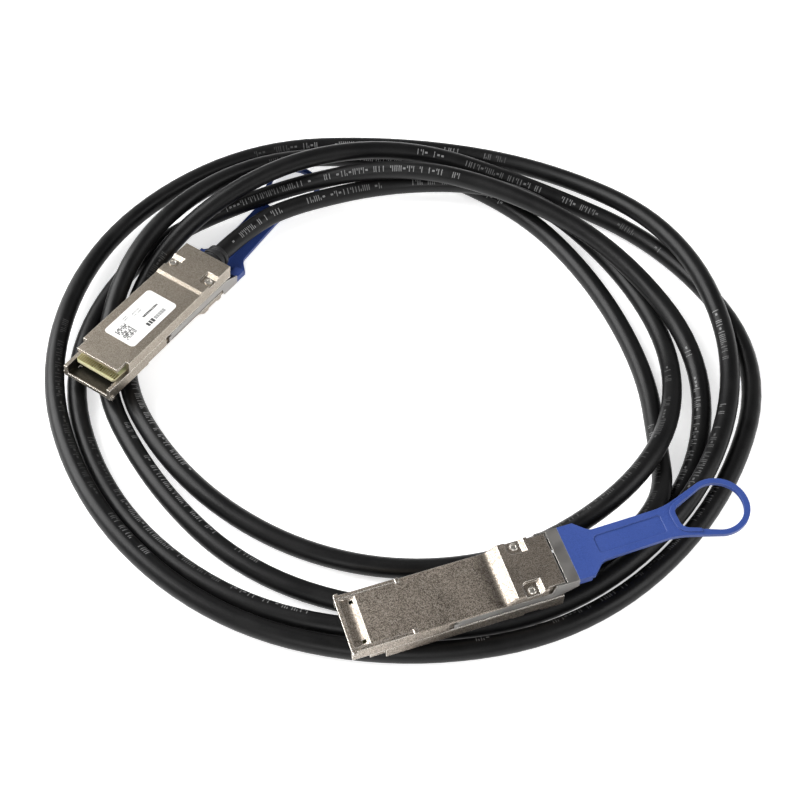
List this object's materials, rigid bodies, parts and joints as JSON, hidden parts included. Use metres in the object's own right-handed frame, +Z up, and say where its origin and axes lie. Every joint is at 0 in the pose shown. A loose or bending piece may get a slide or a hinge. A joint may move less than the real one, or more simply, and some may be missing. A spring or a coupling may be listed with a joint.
{
  "type": "direct attach copper cable",
  "caption": "Coiled black network cable with a flat metal plug at each end; each plug has a sprung latch slider and a pull tab with a finger loop",
  "frame": {"origin": "on the surface the cable rests on, under the middle of the box round the two plugs", "axes": "+X along the longer side of the box round the two plugs, +Y away from the lower plug, +Z up"},
  "size_m": [0.2322, 0.2135, 0.0208],
  "materials": {
    "casting": "nickel-plated casting, satin with a fine grain",
    "spring_sheet": "stamped stainless sheet, smooth",
    "rivet": "smooth",
    "ferrule": "plain",
    "spring_wire": "plain",
    "circuit_board": "solder mask",
    "gold_pads": "gold plated",
    "chip": "moulded package",
    "wire_insulation": "plain",
    "boot_rubber": "satin",
    "tab_plastic": "fine satin",
    "label_paper": "matt",
    "cable_jacket": "satin"
  },
  "bodies": {
    "root": {"plug_a_latch_shell": "casting", "plug_a_label_shell": "casting", "plug_a_paddle_card": "circuit_board", "plug_a_contact_pads": "gold_pads", "plug_a_memory_chip": "chip", "plug_a_wire_pairs": "wire_insulation", "plug_a_cable_ferrule": "ferrule", "plug_a_strain_relief": "boot_rubber", "plug_a_rivets": "rivet", "plug_a_return_springs": "spring_wire", "plug_b_latch_shell": "casting", "plug_b_label_shell": "casting", "plug_b_paddle_card": "circuit_board", "plug_b_contact_pads": "gold_pads", "plug_b_memory_chip": "chip", "plug_b_wire_pairs": "wire_insulation", "plug_b_cable_ferrule": "ferrule", "plug_b_strain_relief": "boot_rubber", "plug_b_rivets": "rivet", "plug_b_return_springs": "spring_wire", "plug_a_label": "label_paper", "cable": "cable_jacket"},
    "latch_a": {"plug_a_latch_slider": "spring_sheet", "plug_a_pull_tab": "tab_plastic"},
    "latch_b": {"plug_b_latch_slider": "spring_sheet", "plug_b_pull_tab": "tab_plastic"}
  },
  "joints": [
    {"name": "latch_a_pull", "type": "slide", "parent": "root", "child": "latch_a", "axis": [0.527, 0.8434, -0.1045], "range_m": [0, 0.0015], "stiffness_N_per_m": 1500, "springref_m": -0.002, "deforming": ["plug_a_return_springs"]},
    {"name": "latch_b_pull", "type": "slide", "parent": "root", "child": "latch_b", "axis": [0.9483, 0.3173, 0], "range_m": [0, 0.0015], "stiffness_N_per_m": 1500, "springref_m": -0.002, "deforming": ["plug_b_return_springs"]}
  ]
}
